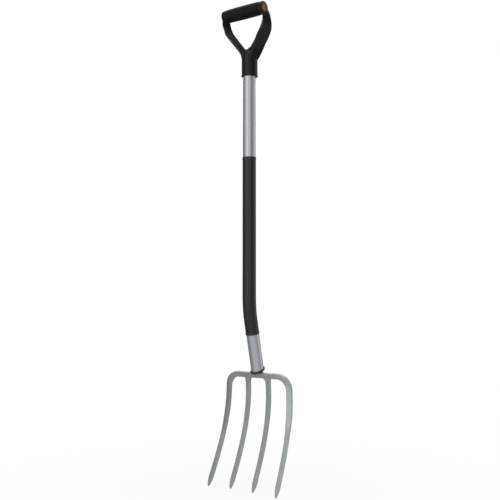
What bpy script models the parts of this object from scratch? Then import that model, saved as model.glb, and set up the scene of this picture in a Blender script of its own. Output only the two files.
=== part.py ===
"""Digging fork: four steel tines on a bent tube with a sleeve and a D-shaped handle.

Metres, +Z up. X runs across the head, -Y is the hollow front side that the tines sweep towards,
and the tine points stand on z = 0. The straight upper part of the shaft is parallel to Z.
"""

import bmesh
import bpy
from math import atan2, cos, pi, radians, sin, sqrt, tan
from mathutils import Vector

# Shaft: a bent round tube. Y is measured from the middle of the fork's depth.
SHAFT_Y = -0.0071
TUBE_RADIUS = 0.016
TUBE_WALL = 0.0016
TUBE_TOP_Z = 1.073
BEND_Z = 0.441
BEND_ANGLE = radians(12.5)
BEND_RADIUS = 0.280
FOOT_Z = 0.2890
FOOT_SLANT = radians(13)
GAP = 0.0003

# Black sleeve on the middle of the shaft, with a collar at each end.
SLEEVE_TOP_Z = 0.8205
SLEEVE_BOTTOM_Z = 0.379
SLEEVE_RADIUS = 0.0168
COLLAR_HEIGHT = 0.005
COLLAR_PROUD = 0.0003
# The collar's rounded edge: (distance from its inner end, how far it has drawn in).
COLLAR_EDGE = [(0, 0), (0.0030, 0), (0.0044, 0.0003), (COLLAR_HEIGHT, 0.0008)]

# Seal ring on the tube's foot: (distance along the shaft, how far it has drawn in).
SEAL_WALL = 0.0027
SEAL_EDGE = [
    (0.0032, 0.0012),
    (0.0020, 0.0003),
    (-0.0005, 0),
    (-0.0014, 0.0005),
    (-0.0018, 0.0016),
]
SEAL_LIP_GAP = 0.0001

# Plug in the top of the tube.
PLUG_LENGTH = 0.040
PLUG_LEAD_IN = 0.002
PLUG_TAPER = 0.001
PLUG_FLANGE = 0.0028
PLUG_FLANGE_INSET = 0.0002

# Head: flat bars bent into four tines.
BAR_Z = 0.2765
BAR_Y = 0.034
BAR_HEIGHT = 0.0132
BAR_DEPTH = 0.0095
TINE_LENGTH = 0.2884
INNER_SHORTER = 0.0025
TINE_WIDTH = 0.0105
TINE_DEPTH = 0.008
TINE_LEAN_TOP = radians(-9.5)
TINE_SWEEP = radians(34.5)
TINE_PITCH_TOP = 0.0622
TINE_PITCH_TIP = 0.0697
SHOULDER_RADIUS = 0.033
SHOULDER_WIDTH = 0.0143
SHOULDER_SWELL = 0.0010
SHOULDER_TWIST = radians(17)
SEAM_X = 0.0396
POINT_LENGTH = 0.022
POINT_SIZE = 0.0034
POINT_BLUNTING = 0.4
# The point's sections: (share of its length, share of the tine's section).
POINT_STATIONS = ((0.35, 0.86), (0.7, 0.62), (0.92, 0.40), (1, 0.24))
POINT_ROUNDING = 0.0012
ROOT_THICKER = 0.0004
ROOT_WIDER = 0.0012
# Fillets at an inner tine's root: (distance below the bar's middle, growth inwards, growth outwards).
ROOT_FILLETS = [
    (-0.0040, 0.0, 0.0),
    (0.0040, 0.0072, 0.0),
    (0.0077, 0.0064, 0.0),
    (0.0080, 0.0061, 0.0050),
    (0.0105, 0.0034, 0.0030),
    (0.0145, 0.0012, 0.0010),
]
ROOT_END = 0.020

# Butt joint between two bars, and its bead: (distance from the seam, height over the bar).
SEAM_BEVEL = 0.0019
SEAM_BEVEL_LENGTH = 0.0026
BEAD_PROFILE = [
    (-0.0025, 0.00035),
    (-0.0014, 0.00085),
    (0, 0.0010),
    (0.0014, 0.00085),
    (0.0025, 0.00035),
    (0.00035, -0.0014),
    (-0.00035, -0.0014),
]

# Steel stub inside the tube's foot, and the fillet beads that hold it on the bar.
STUB_START = 0.0022
STUB_END = 0.0970
STUB_WALL = 0.0036
STUB_LEAD_IN = 0.0014
STUB_TAPER = 0.0010
BEAD_INSET = 0.0050
BEAD_FOOT = 0.0075
BEAD_CROWN = 0.0060
BEAD_BASE = 0.00065
BEAD_ROUNDING = 0.0005
# The fillet bead's sections: (distance along it, swell).
BEAD_STATIONS = ((-0.0042, 0.7), (-0.0022, 1), (0, 1.05), (0.0022, 1), (0.0042, 0.7))

# Handle: socket, two legs and a cross-grip. The grip leans towards the front.
SOCKET_RADIUS = 0.0203
SOCKET_BACK = 0.0014
SOCKET_BOTTOM_Z = 1.024
SOCKET_DOME_Z = 1.095
GRIP_Z = 1.1835
GRIP_FORWARD = 0.020
GRIP_RADIUS = 0.0164
GRIP_BULGE = 0.0006
GRIP_HALF = 0.0495
BOSS_RADIUS = 0.016
BOSS_END = 0.064
CORE_RADIUS = 0.010
CAP_RADIUS = 0.0105
CAP_THICKNESS = 0.0035
CAP_PROUD = 0.0002
CAP_EDGE = 0.0012
CAP_STEM = 0.012
BORE_REACH = 0.006
CORE_WALL = 0.002

# Fastenings.
SCREW_Z = 1.052
RIVET_UP = 0.045
SHANK_RADIUS = 0.0022
SCREW_SEAT = 0.0012
SCREW_TIP = 0.0035
SCREW_TIP_LENGTH = 0.0025
SCREW_TIP_RADIUS = 0.0006
SCREW_HEAD_RADIUS = 0.0042
SCREW_HEAD_HEIGHT = 0.0026
RIVET_BLIND_DEPTH = 0.0042
RIVET_BLIND_RADIUS = 0.0032
RIVET_HEAD_RADIUS = 0.0045
RIVET_HEAD_HEIGHT = 0.0014
CUTTER_REACH = 0.004

ROUND_SIDES = 28
CORNER_POINTS = 3

MATERIALS = {
    "anodised_tube": ((0.62, 0.65, 0.67), 0.38, 0.9),
    "black_nylon": ((0.022, 0.022, 0.024), 0.45, 0.0),
    "soft_grip": ((0.018, 0.017, 0.02), 0.75, 0.0),
    "sleeve_plastic": ((0.03, 0.031, 0.033), 0.55, 0.0),
    "orange_plastic": ((0.45, 0.16, 0.04), 0.45, 0.0),
    "forged_steel": ((0.33, 0.35, 0.36), 0.42, 0.85),
    "weld_steel": ((0.28, 0.29, 0.3), 0.5, 0.85),
    "bright_steel": ((0.5, 0.5, 0.5), 0.35, 1.0),
    "seal_rubber": ((0.015, 0.016, 0.018), 0.7, 0.0),
}


def clear_scene():
    for obj in list(bpy.data.objects):
        bpy.data.objects.remove(obj, do_unlink=True)


def material(name):
    found = bpy.data.materials.get(name)
    if found:
        return found
    colour, roughness, metallic = MATERIALS[name]
    made = bpy.data.materials.new(name)
    made.use_nodes = True
    shader = made.node_tree.nodes["Principled BSDF"]
    shader.inputs["Base Color"].default_value = (*colour, 1)
    shader.inputs["Roughness"].default_value = roughness
    shader.inputs["Metallic"].default_value = metallic
    made.diffuse_color = (*colour, 1)
    return made


def loft(name, rings, finish, closed=False, crease=30):
    """A skin over rings of points. It has a cap at each end, or runs round on itself when closed."""
    mesh = bmesh.new()
    rows = [[mesh.verts.new(point) for point in ring] for ring in rings]
    count = len(rows[0])
    for index in range(len(rows) if closed else len(rows) - 1):
        lower = rows[index]
        upper = rows[(index + 1) % len(rows)]
        for side in range(count):
            following = (side + 1) % count
            mesh.faces.new((lower[side], lower[following], upper[following], upper[side]))
    if not closed:
        mesh.faces.new(rows[0])
        mesh.faces.new(rows[-1])
    bmesh.ops.recalc_face_normals(mesh, faces=mesh.faces)
    data = bpy.data.meshes.new(name)
    mesh.to_mesh(data)
    mesh.free()
    data.shade_smooth()
    data.set_sharp_from_angle(angle=radians(crease))
    data.materials.append(material(finish))
    obj = bpy.data.objects.new(name, data)
    bpy.context.scene.collection.objects.link(obj)
    return obj


def combine(obj, other, operation):
    """A Boolean modifier with the exact solver. The other object becomes a hidden helper."""
    other.hide_render = True
    other.display_type = "WIRE"
    modifier = obj.modifiers.new(other.name, "BOOLEAN")
    modifier.operation = operation
    modifier.solver = "EXACT"
    modifier.object = other


def circle(centre, across, up, radius, sides=ROUND_SIDES):
    return [
        centre + radius * (cos(2 * pi * k / sides) * across + sin(2 * pi * k / sides) * up)
        for k in range(sides)
    ]


def lathe(name, start, axis, profile, finish, sides=ROUND_SIDES, closed=False, crease=30):
    """A turned piece: profile lists (distance along the axis, radius)."""
    axis = axis.normalized()
    across = axis.orthogonal().normalized()
    up = axis.cross(across)
    rings = [circle(start + along * axis, across, up, radius, sides) for along, radius in profile]
    return loft(name, rings, finish, closed, crease)


def rounded_ring(corners, radius):
    """Corner points with each corner replaced by a short curve that starts one radius before it."""
    points = []
    for index, corner in enumerate(corners):
        before = corners[index - 1] - corner
        after = corners[(index + 1) % len(corners)] - corner
        reach = min(radius, 0.48 * before.length, 0.48 * after.length)
        first = corner + before.normalized() * reach
        last = corner + after.normalized() * reach
        for step in range(CORNER_POINTS):
            t = step / (CORNER_POINTS - 1)
            points.append((1 - t) ** 2 * first + 2 * t * (1 - t) * corner + t * t * last)
    return points


# ---- shaft -------------------------------------------------------------------------------------


def shaft_station(z):
    """(centre, unit direction upwards) of the shaft's axis at a height."""
    half = BEND_RADIUS * tan(BEND_ANGLE / 2)
    arc_top = BEND_Z + half
    arc_bottom = BEND_Z - half * cos(BEND_ANGLE)
    if z >= arc_top:
        lean = 0
        back = 0
    elif z > arc_bottom:
        lean = atan2(arc_top - z, sqrt(BEND_RADIUS**2 - (arc_top - z) ** 2))
        back = BEND_RADIUS * (1 - cos(lean))
    else:
        lean = BEND_ANGLE
        back = (BEND_Z - z) * tan(BEND_ANGLE)
    return Vector((0, SHAFT_Y + back, z)), Vector((0, -sin(lean), cos(lean)))


def shaft_ring(z, radius, along=0, slant=0):
    """A ring round the shaft, pushed along its axis. A slant lowers its front and lifts its back."""
    centre, up = shaft_station(z)
    side = Vector((1, 0, 0))
    back = up.cross(side)
    ring = []
    for k in range(ROUND_SIDES):
        turn = 2 * pi * k / ROUND_SIDES
        lift = along + radius * sin(turn) * tan(slant)
        ring.append(centre + lift * up + radius * (cos(turn) * side + sin(turn) * back))
    return ring


def shaft_heights(low, high):
    """Heights for rings between two heights, with extra ones through the bend."""
    half = BEND_RADIUS * tan(BEND_ANGLE / 2)
    bend = [BEND_Z + half * (2 * k / 8 - 1) for k in range(9)]
    return [low] + [z for z in bend if low < z < high] + [high]


def shaft_shell(name, low, high, inner, outer, finish):
    heights = shaft_heights(low, high)
    rings = [shaft_ring(z, outer) for z in heights] + [shaft_ring(z, inner) for z in heights[::-1]]
    return loft(name, rings, finish, closed=True)


def make_shaft_tube():
    heights = shaft_heights(FOOT_Z + 0.008, TUBE_TOP_Z)
    bore = TUBE_RADIUS - TUBE_WALL
    rings = [shaft_ring(FOOT_Z, TUBE_RADIUS, slant=FOOT_SLANT)]
    rings += [shaft_ring(z, TUBE_RADIUS) for z in heights]
    rings += [shaft_ring(z, bore) for z in heights[::-1]]
    rings += [shaft_ring(FOOT_Z, bore, slant=FOOT_SLANT)]
    return loft("shaft_tube", rings, "anodised_tube", closed=True)


def make_shaft_sleeve():
    inner = TUBE_RADIUS + GAP
    low = SLEEVE_BOTTOM_Z + COLLAR_HEIGHT + GAP
    high = SLEEVE_TOP_Z - COLLAR_HEIGHT - GAP
    shaft_shell("shaft_sleeve", low, high, inner, SLEEVE_RADIUS, "sleeve_plastic")


def make_collar(name, edge_z, outward):
    """A rounded end collar: outward is 1 for the upper one and -1 for the lower one."""
    inner = TUBE_RADIUS + GAP
    outer = SLEEVE_RADIUS + COLLAR_PROUD
    inside_z = edge_z - outward * COLLAR_HEIGHT
    profile = [(0, inner)] + [(along, outer - drawn) for along, drawn in COLLAR_EDGE]
    profile.append((COLLAR_HEIGHT, inner))
    rings = [shaft_ring(inside_z, radius, outward * along) for along, radius in profile]
    loft(name, rings, "sleeve_plastic", closed=True)


def make_foot_seal():
    """A ring that cups the slanted foot of the tube and closes the gap round the spigot."""
    outer = TUBE_RADIUS + SEAL_WALL
    bore = TUBE_RADIUS + GAP
    lip = TUBE_RADIUS - TUBE_WALL + SEAL_LIP_GAP
    top = SEAL_EDGE[0][0]
    bottom = SEAL_EDGE[-1][0]
    profile = [(top, bore)] + [(along, outer - drawn) for along, drawn in SEAL_EDGE]
    profile += [(bottom, lip), (-GAP, lip), (-GAP, bore)]
    rings = [shaft_ring(FOOT_Z, radius, along, FOOT_SLANT) for along, radius in profile]
    loft("foot_seal", rings, "seal_rubber", closed=True)


def make_shaft_top_plug():
    """A plastic plug that closes the tube's top and gives the handle screw something to bite."""
    stem = TUBE_RADIUS - TUBE_WALL - GAP
    profile = [
        (-PLUG_LENGTH, stem - PLUG_TAPER),
        (-PLUG_LENGTH + PLUG_LEAD_IN, stem),
        (GAP, stem),
        (GAP, TUBE_RADIUS - PLUG_FLANGE_INSET),
        (PLUG_FLANGE, TUBE_RADIUS - PLUG_FLANGE_INSET),
    ]
    start = Vector((0, SHAFT_Y, TUBE_TOP_Z))
    return lathe("shaft_top_plug", start, Vector((0, 0, 1)), profile, "black_nylon")


# ---- head --------------------------------------------------------------------------------------


def sweep_angle(s):
    """How far the tine leans forward, s metres down its length from the bar's middle."""
    left = 1 - max(s, 0) / TINE_LENGTH
    return TINE_LEAN_TOP + TINE_SWEEP * (1 - left**2)


def sweep_point(s):
    """(y, z) of the head's curved middle surface, by adding up short straight steps."""
    steps = 40
    y = SHAFT_Y + BAR_Y
    z = BAR_Z
    for k in range(steps):
        angle = sweep_angle(s * (k + 0.5) / steps)
        y -= sin(angle) * s / steps
        z -= cos(angle) * s / steps
    return y, z


def on_head(x, s, out):
    """A point of the head: x across, s down the tine, out towards the back of the fork."""
    y, z = sweep_point(s)
    angle = sweep_angle(s)
    return Vector((x, y + out * cos(angle), z - out * sin(angle)))


def head_ring(x, s, heading, width, depth, twist=0, radius=0.0022):
    """A rounded section square to the path, which runs along heading in the head's surface."""
    corners = []
    for a, b in ((-1, -1), (1, -1), (1, 1), (-1, 1)):
        wide = a * width / 2 * cos(twist) - b * depth / 2 * sin(twist)
        out = a * width / 2 * sin(twist) + b * depth / 2 * cos(twist)
        corners.append((wide, out))
    flat = rounded_ring([Vector((wide, out, 0)) for wide, out in corners], radius)
    across_x = cos(heading)
    across_s = -sin(heading)
    return [on_head(x + p.x * across_x, s + p.x * across_s, p.y) for p in flat]


def tine_x(side, order, s):
    """Middle of a tine: order is 0.5 for an inner tine and 1.5 for an outer one."""
    pitch = TINE_PITCH_TOP + (TINE_PITCH_TIP - TINE_PITCH_TOP) * s / TINE_LENGTH
    return side * order * pitch


def ease(value, low, high):
    t = min(max((value - low) / (high - low), 0), 1)
    return t * t * (3 - 2 * t)


def point_rings(side, order, length, turned=1):
    """The last rings of a tine, drawn down to a blunt point. Turned is -1 for a mirrored section."""
    rings = []
    start = length - POINT_LENGTH
    for share, scale in POINT_STATIONS:
        s = start + share * POINT_LENGTH
        blunt = POINT_SIZE * (1 - scale) * POINT_BLUNTING
        width = blunt + TINE_WIDTH * scale
        depth = blunt + TINE_DEPTH * scale
        x = tine_x(side, order, s)
        rings.append(head_ring(x, s, 0, turned * width, depth, 0, POINT_ROUNDING))
    return rings


def bar_ring(x, grow=0):
    height = BAR_HEIGHT + 2 * grow
    depth = BAR_DEPTH + 2 * grow
    return head_ring(x, 0, pi / 2, height, depth, 0, 0.0026)


def make_outer_tine(name, side):
    """A flat bar: square to the seam, bent down at the shoulder, then drawn out to a point."""
    top_x = tine_x(1, 1.5, SHOULDER_RADIUS)
    centre_x = top_x - SHOULDER_RADIUS
    rings = [bar_ring(side * (SEAM_X + GAP), -SEAM_BEVEL), bar_ring(side * (SEAM_X + SEAM_BEVEL_LENGTH))]
    for k in range(9):
        turn = pi / 2 * k / 8
        x = centre_x + SHOULDER_RADIUS * sin(turn)
        s = SHOULDER_RADIUS * (1 - cos(turn))
        depth = BAR_DEPTH + (TINE_DEPTH + ROOT_THICKER - BAR_DEPTH) * k / 8
        twist = side * SHOULDER_TWIST * ease(turn, pi / 4, pi / 2)
        width = BAR_HEIGHT + (SHOULDER_WIDTH - BAR_HEIGHT) * k / 8 + SHOULDER_SWELL * sin(2 * turn)
        rings.append(head_ring(side * x, s, side * (pi / 2 - turn), side * width, depth, twist))
    for k in range(1, 15):
        s = SHOULDER_RADIUS + (TINE_LENGTH - POINT_LENGTH - SHOULDER_RADIUS) * k / 14
        width = SHOULDER_WIDTH + (TINE_WIDTH - SHOULDER_WIDTH) * ease(s, 0.095, 0.150)
        depth = TINE_DEPTH + ROOT_THICKER * (1 - ease(s, 0.06, 0.15))
        twist = side * SHOULDER_TWIST * (1 - ease(s, 0.095, 0.155))
        rings.append(head_ring(tine_x(side, 1.5, s), s, 0, side * width, depth, twist))
    rings += point_rings(side, 1.5, TINE_LENGTH, side)
    return loft(name, rings, "forged_steel")


def make_inner_tine(name, side):
    """One inner tine, from inside the middle bar down to its point, with a fillet on each side."""
    length = TINE_LENGTH - INNER_SHORTER
    rings = []
    for s, inner, outer in ROOT_FILLETS:
        x = tine_x(side, 0.5, s) + side * (outer - inner) / 2
        rings.append(head_ring(x, s, 0, TINE_WIDTH + inner + outer, TINE_DEPTH + ROOT_THICKER))
    for k in range(15):
        s = ROOT_END + (length - POINT_LENGTH - ROOT_END) * k / 14
        width = TINE_WIDTH + ROOT_WIDER * (1 - ease(s, 0.050, 0.140))
        rings.append(head_ring(tine_x(side, 0.5, s), s, 0, width, TINE_DEPTH))
    rings += point_rings(side, 0.5, length)
    return loft(name, rings, "forged_steel")


def make_inner_tine_pair():
    """Middle bar and the two inner tines, forged as one U-shaped piece."""
    end = SEAM_X - GAP
    full = SEAM_X - SEAM_BEVEL_LENGTH
    rings = [bar_ring(-end, -SEAM_BEVEL), bar_ring(-full), bar_ring(full), bar_ring(end, -SEAM_BEVEL)]
    pair = loft("inner_tine_pair", rings, "forged_steel")
    combine(pair, make_inner_tine("inner_left_helper", -1), "UNION")
    combine(pair, make_inner_tine("inner_right_helper", 1), "UNION")


def make_shoulder_weld(name, side):
    """A bead that fills the groove all round the butt joint between two bars."""
    rings = [bar_ring(side * (SEAM_X + along), grow) for along, grow in BEAD_PROFILE]
    loft(name, rings, "weld_steel", closed=True)


def spigot_axis():
    """(foot of the shaft's axis on top of the bar, direction upwards)."""
    _, up = shaft_station(FOOT_Z)
    top = on_head(0, -BAR_HEIGHT / 2, 0)
    foot, _ = shaft_station(top.z)
    return foot, up


def make_socket_spigot():
    """A hollow steel stub, welded on the bar, that the tube slides over."""
    foot, up = spigot_axis()
    outer = TUBE_RADIUS - TUBE_WALL - GAP
    profile = [
        (STUB_START, outer - STUB_WALL),
        (STUB_START, outer - STUB_TAPER),
        (STUB_START + STUB_LEAD_IN, outer),
        (STUB_END - STUB_LEAD_IN, outer),
        (STUB_END, outer - STUB_TAPER),
        (STUB_END, outer - STUB_WALL),
    ]
    return lathe("socket_spigot", foot, up, profile, "forged_steel", closed=True)


def make_spigot_weld(name, side):
    """A short fillet bead between the stub's foot and the top of the bar."""
    foot, up = spigot_axis()
    sideways = Vector((1, 0, 0))
    back = up.cross(sideways)
    inner = side * (TUBE_RADIUS - TUBE_WALL - BEAD_INSET)
    middle = SHAFT_Y + BAR_Y - foot.y
    rings = []
    for along, swell in BEAD_STATIONS:
        corners = [
            foot + inner * sideways + BEAD_BASE * up,
            foot + (inner + side * BEAD_FOOT * swell) * sideways + BEAD_BASE * up,
            foot + (inner + side * BEAD_CROWN * swell) * sideways + (0.0006 + 0.0008 * swell) * up,
            foot + inner * sideways + (0.0006 + 0.0011 * swell) * up,
        ]
        section = rounded_ring(corners, BEAD_ROUNDING)
        rings.append([point + (along + middle) * back for point in section])
    loft(name, rings, "weld_steel")


# ---- handle ------------------------------------------------------------------------------------

# Sections of the right leg at falling heights, (x, y from the shaft's axis) in metres, each going
# round from the edge beside the opening, over the front ridge and the outer edge, to the back.
LEG_SECTIONS = [
    (1.184, (0.053, -0.016), (0.060, -0.033), (0.0630, -0.014), (0.0610, -0.003)),
    (1.176, (0.052, -0.014), (0.0605, -0.0325), (0.0675, -0.0075), (0.0635, 0.001)),
    (1.164, (0.051, -0.012), (0.0645, -0.0305), (0.0725, -0.0075), (0.065, 0.0045)),
    (1.148, (0.0453, -0.012), (0.0615, -0.0245), (0.0757, -0.0063), (0.062, 0.007)),
    (1.137, (0.0392, -0.012), (0.056, -0.0205), (0.0724, 0.0002), (0.055, 0.007)),
    (1.126, (0.0308, -0.011), (0.0470, -0.0168), (0.0657, 0.0050), (0.047, 0.009)),
    (1.114, (0.022, -0.009), (0.0368, -0.0146), (0.0566, 0.0078), (0.039, 0.013)),
    (1.103, (0.0130, -0.0085), (0.0275, -0.0140), (0.0475, 0.009), (0.030, 0.0155)),
    (1.091, (0.0030, -0.008), (0.0205, -0.0140), (0.0385, 0.0105), (0.024, 0.0175)),
    (1.080, (-0.0060, -0.008), (0.0168, -0.0142), (0.0318, 0.0095), (0.018, 0.0195)),
    (1.070, (-0.009, -0.008), (0.0145, -0.0142), (0.0262, 0.0065), (0.014, 0.0185)),
    (1.064, (-0.009, -0.007), (0.0120, -0.0125), (0.0185, 0.003), (0.011, 0.0150)),
]
LEG_ROUNDING = 0.0045


def make_leg(name, side):
    rings = []
    for z, *corners in LEG_SECTIONS:
        points = [Vector((side * x, SHAFT_Y + y, z)) for x, y in corners]
        rings.append(rounded_ring(points, LEG_ROUNDING))
    return loft(name, rings, "black_nylon")


def grip_centre(x):
    return Vector((x, SHAFT_Y - GRIP_FORWARD, GRIP_Z))


def make_boss(name, side):
    """The ring at the top of a leg, which holds one end of the cross-grip."""
    inner = GRIP_HALF + GAP
    profile = [
        (inner, BOSS_RADIUS - 0.0006),
        (inner + 0.0012, BOSS_RADIUS),
        (BOSS_END - 0.0028, BOSS_RADIUS),
        (BOSS_END - 0.0009, BOSS_RADIUS - 0.0009),
        (BOSS_END, BOSS_RADIUS - 0.0028),
    ]
    return lathe(name, grip_centre(0), Vector((side, 0, 0)), profile, "black_nylon")


def make_handle_frame():
    """Socket, legs and bosses in one moulding, with bores for the tube, the grip bar and the caps."""
    base = Vector((0, SHAFT_Y, SOCKET_BOTTOM_Z))
    shell = base + Vector((0, SOCKET_BACK, 0))
    up = Vector((0, 0, 1))
    height = SOCKET_DOME_Z - SOCKET_BOTTOM_Z
    outside = [
        (0, SOCKET_RADIUS - 0.0006),
        (0.0008, SOCKET_RADIUS),
        (height - 0.014, SOCKET_RADIUS),
        (height - 0.005, SOCKET_RADIUS - 0.004),
        (height, SOCKET_RADIUS - 0.013),
    ]
    frame = lathe("handle_frame", shell, up, outside, "black_nylon")
    for label, side in (("left", -1), ("right", 1)):
        combine(frame, make_leg(f"{label}_leg_helper", side), "UNION")
        combine(frame, make_boss(f"{label}_boss_helper", side), "UNION")
    bore = [
        (-0.002, TUBE_RADIUS + 0.0012),
        (0.0010, TUBE_RADIUS + GAP),
        (TUBE_TOP_Z - SOCKET_BOTTOM_Z + 0.0035, TUBE_RADIUS + GAP),
    ]
    combine(frame, lathe("tube_bore_cutter", base, up, bore, "black_nylon"), "DIFFERENCE")
    along = Vector((1, 0, 0))
    recess = BOSS_END - CAP_THICKNESS - GAP
    hole = [
        (-BOSS_END - BORE_REACH, CAP_RADIUS + GAP),
        (-recess, CAP_RADIUS + GAP),
        (-recess, CORE_RADIUS + GAP),
        (recess, CORE_RADIUS + GAP),
        (recess, CAP_RADIUS + GAP),
        (BOSS_END + BORE_REACH, CAP_RADIUS + GAP),
    ]
    cutter = lathe("grip_bore_cutter", grip_centre(0), along, hole, "black_nylon")
    combine(frame, cutter, "DIFFERENCE")
    return frame


def make_grip():
    """A rigid tube across the handle, a soft cover over it and a cap in each end."""
    along = Vector((1, 0, 0))
    bore = CORE_RADIUS + GAP
    steps = 8
    outside = []
    for k in range(steps + 1):
        t = 2 * k / steps - 1
        outside.append((GRIP_HALF * t, GRIP_RADIUS + GRIP_BULGE * (1 - t * t)))
    profile = [(-GRIP_HALF, bore)] + outside + [(GRIP_HALF, bore)]
    lathe("grip_sleeve", grip_centre(0), along, profile, "soft_grip", closed=True)

    end = BOSS_END - CAP_THICKNESS - 2 * GAP
    inside = CORE_RADIUS - CORE_WALL
    tube = [(-end, inside), (-end, CORE_RADIUS), (end, CORE_RADIUS), (end, inside)]
    lathe("grip_core", grip_centre(0), along, tube, "bright_steel", sides=32, closed=True)

    stem = inside - GAP
    cap = [
        (end - CAP_STEM, stem - PLUG_TAPER),
        (end - CAP_STEM + PLUG_TAPER, stem),
        (end + GAP, stem),
        (end + GAP, CAP_RADIUS),
        (BOSS_END - CAP_EDGE / 2, CAP_RADIUS),
        (BOSS_END + CAP_PROUD, CAP_RADIUS - CAP_EDGE),
    ]
    lathe("end_cap_left", grip_centre(0), -along, cap, "orange_plastic")
    lathe("end_cap_right", grip_centre(0), along, cap, "orange_plastic")


def pin(name, start, axis, profile, finish):
    return lathe(name, start, axis, profile, finish, sides=20)


def make_handle_screw(frame, tube, plug):
    """A pan-head screw through the back of the socket and the tube, into the plug."""
    start = Vector((0, SHAFT_Y, SCREW_Z))
    back = Vector((0, 1, 0))
    seat = SOCKET_RADIUS + SOCKET_BACK - SCREW_SEAT
    profile = [
        (SCREW_TIP, SCREW_TIP_RADIUS),
        (SCREW_TIP + SCREW_TIP_LENGTH, SHANK_RADIUS),
        (seat + GAP, SHANK_RADIUS),
        (seat + GAP, SCREW_HEAD_RADIUS),
        (seat + SCREW_HEAD_HEIGHT - 0.0010, SCREW_HEAD_RADIUS),
        (seat + SCREW_HEAD_HEIGHT, SCREW_HEAD_RADIUS - SCREW_SEAT),
    ]
    pin("handle_screw", start, back, profile, "bright_steel")
    hole = SHANK_RADIUS + GAP
    start_of_hole = SCREW_TIP - 0.0010
    recess = SCREW_HEAD_RADIUS + GAP
    deep = [(start_of_hole, hole), (seat, hole), (seat, recess), (seat + CUTTER_REACH, recess)]
    combine(frame, pin("screw_frame_cutter", start, back, deep, "black_nylon"), "DIFFERENCE")
    straight = [(start_of_hole, hole), (seat + CUTTER_REACH, hole)]
    for piece in (tube, plug):
        cutter = pin(f"screw_{piece.name}_cutter", start, back, straight, "black_nylon")
        combine(piece, cutter, "DIFFERENCE")


def make_spigot_rivet(tube, spigot):
    """A blind rivet at the back of the shaft's foot, through the tube and the stub."""
    foot, up = spigot_axis()
    back = up.cross(Vector((1, 0, 0)))
    start = foot + RIVET_UP * up
    inside = TUBE_RADIUS - TUBE_WALL - RIVET_BLIND_DEPTH
    profile = [
        (inside - 0.0040, 0.0012),
        (inside - 0.0030, RIVET_BLIND_RADIUS),
        (inside - 0.0005, RIVET_BLIND_RADIUS),
        (inside, SHANK_RADIUS),
        (TUBE_RADIUS + GAP, SHANK_RADIUS),
        (TUBE_RADIUS + GAP, RIVET_HEAD_RADIUS),
        (TUBE_RADIUS + 0.0009, RIVET_HEAD_RADIUS - 0.0005),
        (TUBE_RADIUS + RIVET_HEAD_HEIGHT, SHANK_RADIUS),
    ]
    pin("spigot_rivet", start, back, profile, "bright_steel")
    width = SHANK_RADIUS + GAP
    hole = [(CUTTER_REACH, width), (TUBE_RADIUS + CUTTER_REACH, width)]
    for piece in (tube, spigot):
        cutter = pin(f"rivet_{piece.name}_cutter", start, back, hole, "black_nylon")
        combine(piece, cutter, "DIFFERENCE")


def main():
    clear_scene()
    tube = make_shaft_tube()
    plug = make_shaft_top_plug()
    make_shaft_sleeve()
    make_collar("sleeve_top_collar", SLEEVE_TOP_Z, 1)
    make_collar("sleeve_bottom_collar", SLEEVE_BOTTOM_Z, -1)
    make_foot_seal()
    frame = make_handle_frame()
    make_grip()
    make_handle_screw(frame, tube, plug)
    spigot = make_socket_spigot()
    make_spigot_rivet(tube, spigot)
    make_inner_tine_pair()
    for label, side in (("left", -1), ("right", 1)):
        make_outer_tine(f"outer_tine_{label}", side)
        make_shoulder_weld(f"shoulder_weld_{label}", side)
        make_spigot_weld(f"spigot_weld_{label}", side)


main()
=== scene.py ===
"""A garden digging fork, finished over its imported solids.

Metres, +Z up. X runs across the head, -Y is the hollow front that the tines sweep towards, and the
outer tine points stand on z = 0. Each section below makes one piece, or a group of like pieces.
"""

from math import asin, cos, exp, pi, radians, sin, tan

import bmesh
import bpy
from mathutils import Matrix, Vector


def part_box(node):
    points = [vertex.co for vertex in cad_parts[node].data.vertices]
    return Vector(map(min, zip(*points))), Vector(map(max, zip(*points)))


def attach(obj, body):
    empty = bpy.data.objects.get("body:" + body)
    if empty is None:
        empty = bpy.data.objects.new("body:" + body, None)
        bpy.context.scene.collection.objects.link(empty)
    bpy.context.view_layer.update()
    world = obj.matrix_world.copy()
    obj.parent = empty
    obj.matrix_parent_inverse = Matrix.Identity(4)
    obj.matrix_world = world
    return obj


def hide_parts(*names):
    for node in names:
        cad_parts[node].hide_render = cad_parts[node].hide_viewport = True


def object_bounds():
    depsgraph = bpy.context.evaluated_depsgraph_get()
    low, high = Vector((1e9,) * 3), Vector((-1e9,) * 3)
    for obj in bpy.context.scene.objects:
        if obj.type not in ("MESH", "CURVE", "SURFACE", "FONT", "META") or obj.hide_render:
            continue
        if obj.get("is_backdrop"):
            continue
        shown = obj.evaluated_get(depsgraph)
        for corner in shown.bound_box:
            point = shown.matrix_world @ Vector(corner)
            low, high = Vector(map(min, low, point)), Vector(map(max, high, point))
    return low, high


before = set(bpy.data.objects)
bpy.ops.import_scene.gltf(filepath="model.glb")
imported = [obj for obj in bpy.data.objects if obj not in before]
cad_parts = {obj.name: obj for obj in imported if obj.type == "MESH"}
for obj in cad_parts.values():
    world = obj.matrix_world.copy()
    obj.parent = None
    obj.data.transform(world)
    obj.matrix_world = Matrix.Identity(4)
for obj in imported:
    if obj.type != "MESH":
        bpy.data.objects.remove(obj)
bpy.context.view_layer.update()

# ---- Shaft tube --------------------------------------------------------------------------------
# A drawn aluminium tube, clear anodised to a satin grey and bent once above the head. Its slanted
# foot slides over the steel stub of the head, and its top goes up into the socket of the handle.

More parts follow.
